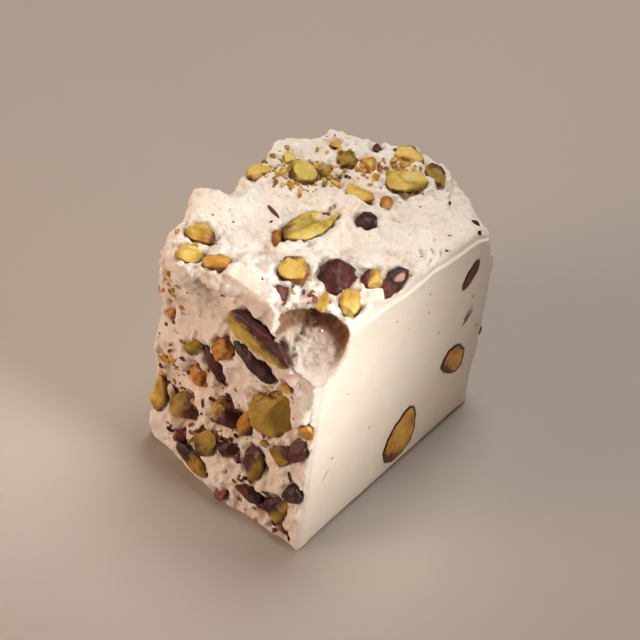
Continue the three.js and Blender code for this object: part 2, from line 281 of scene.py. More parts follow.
# Split kernels that are dished: where along the kernel and across it, as shares of half of it, how deep and
# how pale.
DISHED = {
    "top_01": (0.5, 0.1, 1.6, 1),
    "top_03": (0.2, 0.1, 0.8, 0.8),
    "torn_02": (-0.2, 0.2, 0.6, 0.2),
    "top_15": (-0.1, 0.25, 0.4, 0.88),
}
PALE = {"torn_02": 0.65}  # kernels whose flesh is pale all over, and how pale
WHOLE = ("top_02", "torn_01", "torn_03")  # kernels with no broken faces
# For each face, the way out of it and the way across it.
OUTWARD = {
    "top": (0, 0.11, 0.99),
    "torn": (0, -0.98, 0.16),
    "knife": (1, 0, 0),
    "left": (-1, 0.02, 0.02),
    "back": (0, 1, 0),
}
SIDEWAYS = {"top": (1, 0, 0), "torn": (1, 0, 0), "knife": (0, 1, 0), "left": (0, 1, 0), "back": (1, 0, 0)}
VOXEL = 0.3
DENTS = (3, 1)  # how wide and how deep the broad dents are, and the fine ones
FINE_DENTS = (0.8, 0.1)
WRINKLE_SIZES = np.array([6, 0.9, 0.9])  # along the kernel, and across it
WRINKLE_DEPTH = 0.35
PLUMPED = 0.15  # a kernel is filled out by what the smoothing took from it
BROKEN_FACES = (1, 2, 3)  # how many flat faces a broken kernel may have
BROKEN_AT = (0.62, 0.85)  # how far out they lie, as shares of the kernel's reach
BROKEN_EDGE = 0.15
BROKEN_PALE = 0.6  # how pale they are, and on the torn side
BROKEN_PALE_TORN = 0.3
DISH_REACH = 0.55
SLICED_PROUD = 0.08  # so that a sliced kernel shows in the cut side
SLICED_OUT = 1.5  # it is this much thicker before it is sliced, so that its wrinkles don't reach the cut
SLICED_OUT_FROM = 0.9  # it thickens from this depth, over the next distance
SLICED_OUT_FADE = 0.6
SLICED_RIM = 0.55  # how wide the skin shows round a sliced kernel
IN_CUT = 0.02  # what lies this near to a cut is in it
IN_SLICE = 0.003  # and a corner made by the slicing lies this near to the slice
FLOOR_GAP = 0.3
FULL_SKIN = 0.6  # the value of skin where a kernel is well covered
WORN_SKIN = 0.55  # and where the covering has holes
LITTLE_SKIN = -0.8  # how far it reaches over a kernel that isn't in SKIN_SIDES, at random to one side
RIM_BROWN = 0.25  # how brown a kernel is where it goes into the paste
PATTERN_SHIFT = 40  # each piece has its pattern from another place, up to so far off

right_out = np.array([1.0, 0, 0])
left_foot = np.array(FOOT_CORNERS["front"][0])
left_up = np.array(CROWN_CORNERS["front"][0]) - left_foot
left_out = np.cross(left_up, np.array(FOOT_CORNERS["back"][0]) - left_foot)
left_out /= -np.linalg.norm(left_out) * np.sign(left_out[0])


def beyond_cuts(points):
    """How far each point lies outside the cut at +X, and outside the cut at -X."""
    return points[:, 0] - KNIFE_SIDE_X, (points - left_foot) @ left_out


def keep_within_cuts(points, proud=SLICED_PROUD, gap=FLOOR_GAP):
    """Moves back what stands more than proud out of a cut, and up what is less than gap above the floor."""
    right, left = beyond_cuts(points)
    points = points - np.maximum(right - proud, 0)[:, None] * right_out
    points -= np.maximum(left - proud, 0)[:, None] * left_out
    points[:, 2] = np.maximum(points[:, 2], gap)
    return points


def score_at_cuts(piece):
    """Cuts the piece's faces along the two cuts, so that a sliced kernel has a clean outline."""
    cells = bmesh.new()
    cells.from_mesh(piece.data)
    for foot, facing in ((right_out * KNIFE_SIDE_X, right_out), (left_foot, left_out)):
        every = cells.verts[:] + cells.edges[:] + cells.faces[:]
        on_slice = (foot + facing * SLICED_PROUD) * MM
        bmesh.ops.bisect_plane(cells, geom=every, plane_co=on_slice, plane_no=facing)
    cells.to_mesh(piece.data)
    cells.free()


def linear(code):
    """An sRGB hex colour as the linear one that a shader takes."""
    parts = [int(code[i : i + 2], 16) / 255 for i in (1, 3, 5)]
    return [c / 12.92 if c <= 0.04045 else ((c + 0.055) / 1.055) ** 2.4 for c in parts] + [1]


def set_inputs(tree, node, inputs):
    """Sets or links a node's inputs. Each is a number, a hex colour or another node's output."""
    for name, value in inputs.items():
        if isinstance(value, bpy.types.NodeSocket):
            tree.links.new(value, node.inputs[name])
        else:
            node.inputs[name].default_value = linear(value) if isinstance(value, str) else value


def add_node(tree, kind, inputs=None, stops=(), output=0, **settings):
    """Adds a shader node and gives one of its outputs. A ramp's stops are places with colours or numbers."""
    made = tree.nodes.new("ShaderNode" + kind)
    for name, value in settings.items():
        setattr(made, name, value)
    set_inputs(tree, made, inputs or {})
    elements = made.color_ramp.elements if stops else ()
    while len(elements) < len(stops):
        elements.new(0.5)
    for element, (place, value) in zip(elements, stops):
        element.position = place
        element.color = linear(value) if isinstance(value, str) else [value] * 3 + [1]
    return made.outputs[output]


def paint_over(tree, under, share, paint, stops=()):
    """Lays paint over a colour by a share from 0 to 1, or by a pattern that stops turn into one."""
    if stops:
        share = add_node(tree, "ValToRGB", {"Fac": share}, stops)
    return add_node(tree, "Mix", {0: share, 6: under, 7: paint}, output=2, data_type="RGBA")


def of_size(size, place, **more):
    """The inputs of a pattern whose grains are so many millimetres wide."""
    return {"Vector": place, "Scale": 1 / (size * MM), **more}


def new_material(name):
    material = bpy.data.materials.new(name)
    material.use_nodes = True
    tree = material.node_tree
    return material, tree, tree.nodes["Principled BSDF"]


def pistachio_material(name, colours):
    """Flesh of one finish, with skin, and pale where it broke, as the piece's own attributes say."""
    # Waxy flesh shines softly and lets a little light in. It is mottled, and streaked along the kernel.
    light, middle, deep, brown = colours
    material, tree, shader = new_material(name + "_waxy_flesh")
    along = add_node(tree, "Attribute", output="Vector", attribute_name="kernel")
    place = add_node(tree, "TexCoord", output="Object")
    mottle = add_node(tree, "TexNoise", of_size(4.5, place))
    flesh = add_node(tree, "ValToRGB", {"Fac": mottle}, [(0.3, deep), (0.47, middle), (0.66, light)])
    stretched = add_node(tree, "Mapping", {"Vector": along, "Scale": (0.16, 0.7, 0.7)})
    streak = add_node(tree, "TexNoise", {"Vector": stretched, "Scale": 1.1, "Detail": 3, "Roughness": 0.55})
    broken = add_node(tree, "Attribute", output="Fac", attribute_name="broken")
    flesh = paint_over(tree, flesh, streak, light, [(0.45, 0), (0.75, 0.6)])
    flesh = paint_over(tree, flesh, streak, deep, [(0.28, 0.55), (0.45, 0)])
    flesh = paint_over(tree, flesh, broken, light, [(0.1, 0), (0.6, 0.55)])
    flesh = paint_over(tree, flesh, broken, PASTE_SMEAR, [(0.7, 0), (1, 0.8)])

    # The papery skin is dull and dark, with a ragged edge, and the flesh is browned beside it.
    ragged = add_node(tree, "TexNoise", of_size(1.6, place, Detail=3, Roughness=0.6))
    skin_at = add_node(tree, "Attribute", output="Fac", attribute_name="skin")
    reach = add_node(tree, "Math", {0: ragged, 1: 0.5, 2: skin_at}, operation="MULTIPLY_ADD")
    browned = add_node(tree, "MapRange", {"Value": reach, "From Min": 0.34, "From Max": 0.52, "To Max": 0.85})
    flesh = paint_over(tree, flesh, browned, brown)
    covered = add_node(tree, "MapRange", {"Value": reach, "From Min": 0.5, "From Max": 0.6})
    skin_tints = [(0.32, SKIN_COLOURS[2]), (0.52, SKIN_COLOURS[1]), (0.72, SKIN_COLOURS[0])]
    skin = add_node(tree, "ValToRGB", {"Fac": streak}, skin_tints)
    region = add_node(tree, "TexNoise", of_size(9, place, Detail=1))
    skin = paint_over(tree, skin, region, SKIN_COLOURS[3], [(0.45, 0), (0.62, 0.6)])
    colour = paint_over(tree, flesh, covered, skin)

    # The dust of paste that clings to a kernel and the grain of its flesh would be too fine to show, so they
    # are drawn as coarse as 1.3 and 0.5 millimetres.
    dust = add_node(tree, "TexNoise", of_size(1.3, place, Detail=4, Roughness=0.7))
    colour = paint_over(tree, colour, dust, PASTE_SMEAR, [(0.68, 0), (0.78, 0.55)])
    grain = add_node(tree, "TexNoise", of_size(0.5, place))
    height = add_node(tree, "Math", {0: streak, 1: 1.6, 2: grain}, operation="MULTIPLY_ADD")
    finish = {
        "Base Color": colour,
        "Normal": add_node(tree, "Bump", {"Height": height, "Strength": 0.7, "Distance": 0.2 * MM}),
        "Roughness": add_node(tree, "MapRange", {"Value": mottle, "To Min": 0.34, "To Max": 0.62}),
        "IOR": 1.5,
        "Subsurface Weight": 0.2,
        "Subsurface Radius": (1, 0.75, 0.2),
        "Subsurface Scale": 1 * MM,
    }
    set_inputs(tree, shader, finish)
    return material


materials = {name: pistachio_material(name, colours) for name, colours in FLESH.items()}
slots = {subpart["node"]: subpart["material_slot"] for subpart in frame["record"]["subparts"]}


def select_only(piece):
    bpy.ops.object.select_all(action="DESELECT")
    piece.select_set(True)
    bpy.context.view_layer.objects.active = piece


def kernel_from(node, draw):
    """A copy of a kernel's solid: smoothed and wrinkled, with its broken faces flat and its skin marked."""
    label = node.removeprefix("pistachio_")
    face = label.split("_")[0]
    piece = bpy.data.objects.new(node + "_kernel", frame["nodes"][node].data.copy())
    bpy.context.collection.objects.link(piece)
    piece.data.materials.clear()
    select_only(piece)
    bpy.ops.object.mode_set(mode="EDIT")
    bpy.ops.mesh.select_all(action="SELECT")
    bpy.ops.mesh.remove_doubles(threshold=0.001 * MM)
    bpy.ops.object.mode_set(mode="OBJECT")
    corners = points_of(piece)
    middle = (corners.min(axis=0) + corners.max(axis=0)) / 2
    out = np.array(OUTWARD[face]) / np.linalg.norm(OUTWARD[face])
    flat = (corners - middle) - np.outer((corners - middle) @ out, out)
    along = np.linalg.svd(flat, full_matrices=False)[2][0]
    along *= 1 if along @ SIDEWAYS[face] > 0 else -1
    axes = np.array([along, np.cross(out, along), out])
    finish_with(piece, "REMESH", mode="VOXEL", voxel_size=VOXEL * MM)
    finish_with(piece, "SMOOTH", factor=0.5, iterations=3)
    along_kernel = np.eye(4)
    along_kernel[:3, :3] = axes.T * (WRINKLE_SIZES * MM)
    along_kernel[:3, 3] = middle * MM
    roughen(piece, *DENTS)
    roughen(piece, 1, WRINKLE_DEPTH, lie=Matrix(along_kernel.tolist()))
    points = points_of(piece) + normals_of(piece) * PLUMPED
    for reached, past, facing in zip(beyond_cuts(corners), beyond_cuts(points), (right_out, left_out)):
        if reached.max() > -IN_CUT:
            thicker = SLICED_OUT * smooth_step((past + SLICED_OUT_FROM) / SLICED_OUT_FADE)
            points += np.outer(thicker, facing)
    move_points(piece, points)
    score_at_cuts(piece)
    points = points_of(piece)
    half = np.abs((points - middle) @ axes.T).max(axis=0)
    broken = np.zeros(len(points))
    for _ in range(0 if label in WHOLE or face in ("knife", "left") else draw.choice(BROKEN_FACES)):
        tilt = np.array([draw.uniform(-1, 1), draw.uniform(-1, 1), draw.uniform(0.4, 1.4)])
        tilt /= np.linalg.norm(tilt)
        facing = tilt @ axes
        reach = np.linalg.norm(tilt * half) * draw.uniform(*BROKEN_AT)
        beyond = (points - middle) @ facing - reach
        points -= np.outer(np.maximum(beyond, 0), facing)
        pale = BROKEN_PALE_TORN if face == "torn" else BROKEN_PALE
        broken = np.maximum(broken, pale * smooth_step(beyond / BROKEN_EDGE))
    if label in DISHED:
        where, aside, depth, pale = DISHED[label]
        local = (points - middle) @ axes.T
        away = np.hypot(local[:, 0] / half[0] - where, (local[:, 1] / half[1] - aside) * 0.8)
        dish = smooth_step(1 - away / DISH_REACH) * (local[:, 2] > 0)
        points -= np.outer(dish * depth, out)
        broken = np.maximum(broken, np.minimum(1.8 * dish, 1) * pale)
    broken = np.maximum(broken, PALE.get(label, 0))

    # What stands past a cut is pressed flat into it, and its skin shows as a rim round the slice.
    past_cut = np.maximum(*beyond_cuts(points)) - SLICED_PROUD
    sliced_off = smooth_step(past_cut / 0.1)
    points = keep_within_cuts(points)
    on_outline = np.flatnonzero(np.abs(past_cut) < IN_SLICE)
    outline = kdtree.KDTree(len(on_outline))
    for i in on_outline:
        outline.insert(points[i], int(i))
    outline.balance()
    rim = np.zeros(len(points))
    for i in np.flatnonzero(past_cut > -IN_SLICE):
        rim[i] = smooth_step(1 - (outline.find(points[i])[2] or 0) / SLICED_RIM)
    move_points(piece, points)
    roughen(piece, *FINE_DENTS)

    # The skin clings to one side, is torn away where the kernel broke, and browns its rim in the paste.
    local = (points - middle) @ axes.T
    facing = (normals_of(piece) @ out) * (1 - sliced_off) + sliced_off
    skinned = slots[node] == "pistachio_skin"
    across, up, cover = SKIN_SIDES.get(label, (draw.uniform(-1, 1), draw.uniform(-1, 1), LITTLE_SKIN))
    upward = np.cross(out, SIDEWAYS[face]) * (-1 if face in ("left", "back") else 1)
    direction = across * np.array(SIDEWAYS[face]) + up * upward
    reach = (points - middle) @ direction / np.linalg.norm((direction @ axes.T) * half)
    skin = np.clip(0.3 + 0.6 * (reach + cover), -1, FULL_SKIN)
    if skinned:
        skin = np.maximum(skin, WORN_SKIN)
    skin = skin - broken * (0.6 if skinned else 0.45) * (1 - sliced_off)
    skin = np.maximum(skin, RIM_BROWN * smooth_step((0.7 - facing) / 0.4))
    skin = np.maximum(skin, FULL_SKIN * rim)
    store(piece, "kernel", local + draw.random() * PATTERN_SHIFT)
    store(piece, "skin", skin)
    store(piece, "broken", np.maximum(broken, 0.2 * sliced_off))
    piece.data.materials.append(materials[slots[node]])
    select_only(piece)
    bpy.ops.object.shade_smooth_by_angle(angle=math.radians(50))
    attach(piece, "root")
    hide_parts(node)
    return piece


kernel_draw = random.Random(7)
kernels = [kernel_from(node, kernel_draw) for node in sorted(frame["nodes"]) if node != "halva"]

# ---- Chips of pistachio ----
# Broken bits of kernel lie half sunk in the torn faces, where the paste set round them. They belong to the
# block's solid, and are shaped and coloured here.

# Each chip: where it is across and up its face, its length, its turn and its finish.
CHIPS = {
    "top": [
        (-13.1, 20.6, 4.2, -55, "gold"),
        (-16.4, 10.6, 3.6, -51, "gold"),
        (-9.2, 13.6, 3.6, -52, "olive"),
        (-3.4, -6.6, 3.8, -50, "amber"),
        (6.6, -16, 4.6, -61, "skin"),
        (13.6, -12.7, 4.6, -51, "gold"),
        (4.1, 15.9, 3.8, -50, "amber"),
        (-4.6, 20.6, 4.4, -50, "gold"),
        (-6.6, 25.6, 2.8, -64, "skin"),
    ],
    "torn": [
        (-9.8, 34.4, 5.2, 67, "olive"),
        (-12.4, 7.2, 4.6, 53, "skin"),
        (20, 33, 4.2, 80, "amber"),
        (1.8, 2.4, 4.2, 15, "skin"),
        (-16.6, 50, 4.2, 80, "gold"),
        (-16.8, 37, 3, 70, "amber"),
        (-17.4, 24.6, 3, 20, "amber"),
        (14.1, 40.6, 2.4, 0, "gold"),
        (16.6, 2.2, 3.6, 44, "skin"),
    ],
    "back": [
        (-13, 13, 4, 30, "gold"),
        (-3, 31.5, 4.2, -40, "olive"),
        (8.6, 12.4, 4, 60, "gold"),
        (15.6, 22, 4.4, 10, "amber"),
        (9.4, 44.6, 3.8, -70, "gold"),
        (-11, 46.5, 4, 45, "green"),
    ],
}
CHIP_SHAPE = (1, 0.67, 0.5)  # a chip's length, width and thickness, by its length
CHIP_FLATS = 7  # it is broken flat on so many sides, and made larger by what that takes off
CHIP_LARGER = 1.08
FLAT_AT = (0.35, 0.8)  # how far out a bit is broken flat, as shares of its reach
CHIP_GRAIN = (0.9, 0.25)  # how wide and how deep its dents are
LOOKING_AT = {"top": (0, 0, 1), "torn": (0, -1, 0), "back": (0, 1, 0), "knife": (1, 0, 0), "left": (-1, 0, 0)}
FAR_OFF = 90  # a place outside the block


def tree_of(*pieces):
    """The surfaces of some pieces in millimetres, to look up places on."""
    corners, faces = [], []
    for piece in pieces:
        start = len(corners)
        corners += [tuple(p) for p in points_of(piece)]
        faces += [tuple(v + start for v in f.vertices) for f in piece.data.polygons]
    return bvhtree.BVHTree.FromPolygons(corners, faces)


def on_face(tree, face, across, up):
    """Where a straight look at the face meets the surface, and which way the surface faces there."""
    starts = {"top": (across, up, 0), "knife": (0, across, up), "left": (0, across, up)}
    start = Vector(starts.get(face, (across, 0, up)))
    outward = Vector(LOOKING_AT[face])
    return tree.ray_cast(start + FAR_OFF * outward, -outward)[:2]


def ball_of(detail):
    """The points and faces of a ball of radius 1."""
    ball = bmesh.new()
    bmesh.ops.create_icosphere(ball, subdivisions=detail, radius=1)
    points = np.array([vertex.co[:] for vertex in ball.verts])
    faces = [[vertex.index for vertex in face.verts] for face in ball.faces]
    ball.free()
    return points, faces


def fragment(draw, ball, flats):
    """A ball of radius 1 broken flat on some sides."""
    points = ball[0].copy()
    for _ in range(flats):
        side = np.array([draw.gauss(0, 1) for _ in range(3)])
        side /= np.linalg.norm(side)
        beyond = points @ side - draw.uniform(*FLAT_AT)
        points -= np.outer(np.maximum(beyond, 0), side)
    return points


def axes_at(face, outward, turn):
    """Three directions for a bit on a face: its length, turned by so many degrees, its width, and outward."""
    outward = np.array(outward, float)
    along = np.array(SIDEWAYS[face]) - outward * (outward @ SIDEWAYS[face])
    along /= np.linalg.norm(along)
    side = np.cross(outward, along)
    turn = math.radians(turn)
    along = math.cos(turn) * along + math.sin(turn) * side
    return np.array([along, np.cross(outward, along), outward])


def piece_from(name, bits, slot, draw):
    """One piece from many bits, each of points about its middle, where that lies, its faces and its skin."""
    corners, faces, patterns, skins = [], [], [], []
    for points, place, bit_faces, skin in bits:
        start = len(corners)
        corners += [tuple((p + place) * MM) for p in points]
        faces += [[v + start for v in f] for f in bit_faces]
        patterns += list(points + draw.random() * PATTERN_SHIFT)
        skins += [skin] * len(points)
    mesh = bpy.data.meshes.new(name)
    mesh.from_pydata(corners, [], faces)
    piece = bpy.data.objects.new(name, mesh)
    bpy.context.collection.objects.link(piece)
    store(piece, "kernel", patterns)
    store(piece, "skin", skins)
    store(piece, "broken", np.zeros(len(corners)))
    mesh.materials.append(materials[slot])
    select_only(piece)
    bpy.ops.object.shade_smooth_by_angle(angle=math.radians(28))
    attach(piece, "root")
    return piece


chip_draw = random.Random(11)
smooth_block = tree_of(block)
chip_bits = {}
chip_ball = ball_of(4)
for face, rows in CHIPS.items():
    for across, up, length, turn, finish in rows:
        place, _ = on_face(smooth_block, face, across, up)
        axes = axes_at(face, LOOKING_AT[face], turn)
        sizes = np.array(CHIP_SHAPE) * length / 2 * CHIP_LARGER
        points = (fragment(chip_draw, chip_ball, CHIP_FLATS) * sizes) @ axes
        points = keep_within_cuts(points + place) - place
        bit = (points, np.array(place), chip_ball[1], chip_draw.uniform(-0.1, 0.15))
        chip_bits.setdefault(finish, []).append(bit)
chips = [
    piece_from("pistachio_chips_" + finish, bits, "pistachio_" + finish, chip_draw)
    for finish, bits in chip_bits.items()
]
for chip in chips:
    roughen(chip, *CHIP_GRAIN)

# ---- The torn and cut surface of the paste ----
# Halva breaks into a fibrous, crumbly surface, with pits and short ridges, and it parts a little from the
# kernels where it tore. The knife left its own sides smooth and slightly greasy, with kernels sliced flush.

CUT_FADE = 0.9  # how far from a cut the torn surface is at its full roughness
TORN_SIDE = 0.6  # a face this rough at all its corners is of a torn side
OVER_FLOOR = 0.05  # nothing but the underside comes nearer to the floor
PASTE_PROUD = 3  # and no paste stands further out of a cut
TOP_FROM = 42  # the top's edge along a cut counts from this height, and fully this much above it
TOP_FADE = 5
ROLL_WIDTH = 5  # the top rolls over towards the cut at +X, but not at its front end
ROLL_DEPTH = 1
ROLL_FROM = -18
ROLL_FADE = 12
CORNER_AT = np.array([KNIFE_SIDE_X, 30.5, 50.5])  # the worn corner at the back of that cut
CORNER_REACH = 8
CORNER_PUSH = np.array([0, -2.4, -2])
SMOOTH_BAND = 6  # the knife also smoothed the top this far from that cut
RAGGED_EDGE = 1.6  # and a cut is a little rough this far from its edge
RAGGED_SHARE = 0.35
ROUGH_REACH = 4.5  # how far from kernels the paste broke up most
ROUGH_PATCH = 7  # it also broke up more in patches of this size
CHIP_RIM = 0.3  # and this near to the chip's surface, as a share of the chip's size
CHIP_WALL = 0.04  # what is this near is the chip's wall
CHIP_PAINTED_SHADE = 0.52  # and how much painted shade darkens the paste there
UNDERCUT = 2  # how far the wall goes in under the edge of the top
UNDERCUT_UP = 53.2
UNDERCUT_REACH = 3.4
UNDERCUT_LONGER = 1.4  # it reaches down so much further beside the cut, within the next distance of it
UNDERCUT_BESIDE = 6
EDGE_REACH = 2  # the edges of the cuts are rounded over this width
EDGE_ROUND = 0.3
TOP_EDGE_ROUND = 0.4
# Scratches in the top beside the cut: where each goes from and to, across and up.
SCRATCHES = [
    ((19.3, 14.2), (20.8, 13)),
    ((19.7, 11.2), (21, 8.2)),
    ((16.2, 11.7), (19.6, 9.7)),
    ((12.8, 6.1), (15.2, 5.1)),
    ((17.6, 13.4), (19.8, 12)),
]
SCRATCH_WIDTH = 0.45
SCRATCH_DEPTH = 0.7
GAP_REACH = 3  # how far from a kernel the paste was moved by it
CREVICE_WIDTH = 0.6  # it parted from the kernel
CREVICE_DEPTH = 1.3
BANK_AT = 1.3  # and is banked up at this distance from it
BANK_WIDTH = 1.4
BANK_HEIGHT = 0.6
WANDER = 0.8  # how often a crevice comes and goes, by the millimetre
BROAD = 0.35  # and the paste over a kernel, where it isn't straight over it
KERNEL_CLEAR = 0.25  # what lay over a kernel came away, down to this far under the kernel's surface
UNCOVER_FROM = 2  # but not from a kernel that lies deeper than this
LAID_BARE = ("pistachio_torn",)  # over these nothing is left that would hide them from straight ahead
BARE_FROM = 9  # it is looked for from this far off, and goes this far under them
BARE_CLEAR = 0.35
PUSH_FADE = 1.8  # how far from the cuts the paste is parted from the kernels
SLIT_WIDTH = 0.35  # the paste shrank a little from the kernels sliced in the cut sides
SLIT_DEPTH = 0.25
FIBRE_TILT = 57  # the fibres rise towards +X by so many degrees
FIBRE_SIZES = (5, 0.9, 1.1)

before = points_of(block)
out = normals_of(block)
right, left = beyond_cuts(before)
right_cut, left_cut, underside = np.abs(right) < IN_CUT, np.abs(left) < IN_CUT, before[:, 2] < IN_CUT
nearer_right = np.abs(right) < np.abs(left)
inside = np.minimum(np.minimum(np.abs(right), np.abs(left)), before[:, 2])
torn = smooth_step(inside / CUT_FADE)
to_edge = np.where(underside, EDGE_REACH, np.minimum(np.abs(right), np.abs(left)))
torn_faces = [tuple(f.vertices) for f in block.data.polygons if torn[list(f.vertices)].min() > TORN_SIDE]
edges = bvhtree.BVHTree.FromPolygons([tuple(p) for p in before], torn_faces)
for i in np.flatnonzero(right_cut | left_cut):
    nearest = edges.find_nearest(before[i], EDGE_REACH)
    to_edge[i] = EDGE_REACH if nearest[0] is None else nearest[3]
    torn[i] = RAGGED_SHARE * max(1 - to_edge[i] / RAGGED_EDGE, 0)
kernel_tree = tree_of(*kernels, *chips)


def averaged(piece, values, rounds):
    """The vertices' values, each averaged with its neighbours' so many times."""
    ends = np.empty(2 * len(piece.data.edges), int)
    piece.data.edges.foreach_get("vertices", ends)
    ends = np.vstack([ends.reshape(-1, 2), ends.reshape(-1, 2)[:, ::-1]])
    count = np.bincount(ends[:, 0], minlength=len(values))
    for _ in range(rounds):
        beside = np.bincount(ends[:, 0], weights=values[ends[:, 1]], minlength=len(values))
        values = (values + beside) / (1 + count)
    return values


def kernel_gaps(points, reach):
    """How far off the nearest kernel is, less than 0 inside it, its nearest place and the way it faces."""
    gaps, nearest, facings = np.full(len(points), float(reach)), points - 1000, np.zeros((len(points), 3))
    for i, place in enumerate(points):
        found, facing, _, gap = kernel_tree.find_nearest(place, reach)
        if found is None:
            continue
        within = (Vector(place) - found).dot(facing) < -0.3 * gap
        if within:
            way_out = kernel_tree.ray_cast(place, facing)[1]
            within = way_out is not None and way_out.dot(facing) > 0
        gaps[i] = -gap if within else gap
        nearest[i], facings[i] = found, facing
    return gaps, nearest, facings


# The paste broke up most beside the kernels, in patches and round the chip, and least beside the cut.
first_gaps = kernel_gaps(before, ROUGH_REACH)[0]
patches = np.array([noise.noise(Vector(p) / ROUGH_PATCH) for p in before])
top_share = smooth_step((out[:, 2] - 0.5) / 0.3)
by_cut = smooth_step(1 - np.abs(right) / SMOOTH_BAND) * top_share
chip_sum = (np.abs((before - CHIP_CENTRE) / CHIP_RADII) ** CHIP_STEEPNESS).sum(axis=1)
off_chip = np.abs(chip_sum ** (1 / CHIP_STEEPNESS) - 1)
chip_rim = smooth_step(1 - off_chip / CHIP_RIM)
broken_up = 0.25 + 0.75 * smooth_step(1 - first_gaps / ROUGH_REACH) + 0.9 * patches + 0.4 * chip_rim
broken_up = np.clip(broken_up, 0, 1) * (1 - 0.75 * by_cut)
weigh(block, "torn", torn * (1 - 0.6 * by_cut))
weigh(block, "broken_up", torn * broken_up)

fibres = Matrix.Rotation(math.radians(-FIBRE_TILT), 4, "Y")
fibres @= Matrix.Diagonal((*[size * MM for size in FIBRE_SIZES], 1))
roughen(block, 4.5, 1.2, "torn", noise_depth=1)  # lumps
roughen(block, 2.6, 2.3, "broken_up", noise_depth=1)  # broken lumps
roughen(block, 1.3, 0.45, "broken_up", noise_type="HARD_NOISE", noise_depth=1)  # pits
roughen(block, 1, 1.1, "broken_up", lie=fibres, noise_depth=2)  # ridges
roughen(block, 1, 0.25, "torn", lie=fibres, noise_depth=3)  # fibres
roughen(block, 0.5, 0.14, "torn", noise_depth=1)  # grit

# The cuts stay flat. Their edges are rounded, and the top rolls over towards the cut at +X. The block with
# all of that but the roughness is its shape, and what lies under that is hollow.
points = points_of(block)
near_top = smooth_step((before[:, 2] - TOP_FROM) / TOP_FADE)
roll = ROLL_DEPTH * np.clip(1 - np.abs(before[:, 0] - KNIFE_SIDE_X) / ROLL_WIDTH, 0, 1) ** 2
roll *= near_top * smooth_step((before[:, 1] - ROLL_FROM) / ROLL_FADE)
points[:, 2] -= roll * smooth_step((out[:, 2] + 0.2) / 0.6)
worn = smooth_step(1 - np.linalg.norm(before - CORNER_AT, axis=1) / CORNER_REACH)
points += worn[:, None] * CORNER_PUSH
shape = before + worn[:, None] * CORNER_PUSH
shape[:, 2] -= roll
points[right_cut, 0] = KNIFE_SIDE_X
points[left_cut] -= ((points[left_cut] - left_foot) @ left_out)[:, None] * left_out
top_edge = near_top * nearer_right
edge_round = EDGE_ROUND + (TOP_EDGE_ROUND - EDGE_ROUND) * top_edge
rounding = edge_round * np.clip(1 - to_edge / EDGE_REACH, 0, 1) ** 2
rounding = rounding[:, None] * np.where(nearer_right[:, None], right_out, left_out)
points -= rounding
shape -= rounding
points[underside, 2] = 0
points[~underside, 2] = np.maximum(points[~underside, 2], OVER_FLOOR)
points = keep_within_cuts(points, PASTE_PROUD, 0)
hollow = -((points - shape) * out).sum(axis=1)

# The paste came away over some kernels, and parted from the others in crevices with banks here and there.
gaps, nearest, facings = kernel_gaps(points, GAP_REACH)
facing_out = (facings * out).sum(axis=1)
over = smooth_step((facing_out - 0.3) / 0.4)
wander = np.array([noise.noise(Vector(p) * WANDER) for p in points])
crevice = CREVICE_DEPTH * smooth_step(1 - gaps / CREVICE_WIDTH) * np.clip(0.5 + 1.6 * wander, 0, 1.4)
bank = BANK_HEIGHT * smooth_step(1 - np.abs(gaps - BANK_AT) / BANK_WIDTH)
bank = bank * np.clip(0.8 - 1.4 * wander, 0, 1.6) * torn
straight_over = smooth_step((facing_out - 0.65) / 0.2)
broad = np.array([noise.noise(Vector(p) * BROAD) for p in points])
bare = np.maximum(smooth_step((0.25 - broad) / 0.3), straight_over)
uncover = np.maximum(gaps + KERNEL_CLEAR, 0) * smooth_step((UNCOVER_FROM - gaps) / 0.6) * bare
push = over * uncover + (1 - over) * (crevice - bank)
push[gaps >= GAP_REACH] = 0

# The chip's wall goes in under the top, and the top is scratched.
in_chip = off_chip < CHIP_WALL
under_rim = in_chip * smooth_step((0.75 - out[:, 2]) / 0.3)
below_rim = UNDERCUT_UP - before[:, 2]
below_rim /= np.where(below_rim > 0, 1 + UNDERCUT_LONGER * smooth_step(1 + right / UNDERCUT_BESIDE), 1)
under_rim *= smooth_step(1 - np.abs(below_rim) / UNDERCUT_REACH) * smooth_step(inside / 1.5)
scratch = np.zeros(len(points))
for start, end in SCRATCHES:
    start, reach = np.array(start), np.array(end) - np.array(start)
    share = np.clip((points[:, :2] - start) @ reach / (reach @ reach), 0, 1)
    away = np.linalg.norm(points[:, :2] - start - share[:, None] * reach, axis=1)
    scratch = np.maximum(scratch, smooth_step(1 - away / SCRATCH_WIDTH) * top_share * np.sqrt(1.1 - share))
push = push * smooth_step(inside / PUSH_FADE) + UNDERCUT * under_rim
push = averaged(block, push, 2) + SCRATCH_DEPTH * scratch
push[underside] = 0
in_cut = right_cut | left_cut
slit = smooth_step(1 - np.abs(gaps) / SLIT_WIDTH)
sliced_there = np.maximum(*beyond_cuts(nearest)) > -0.1
push[in_cut] = (SLIT_DEPTH * slit * sliced_there)[in_cut]
points = points - out * push[:, None]

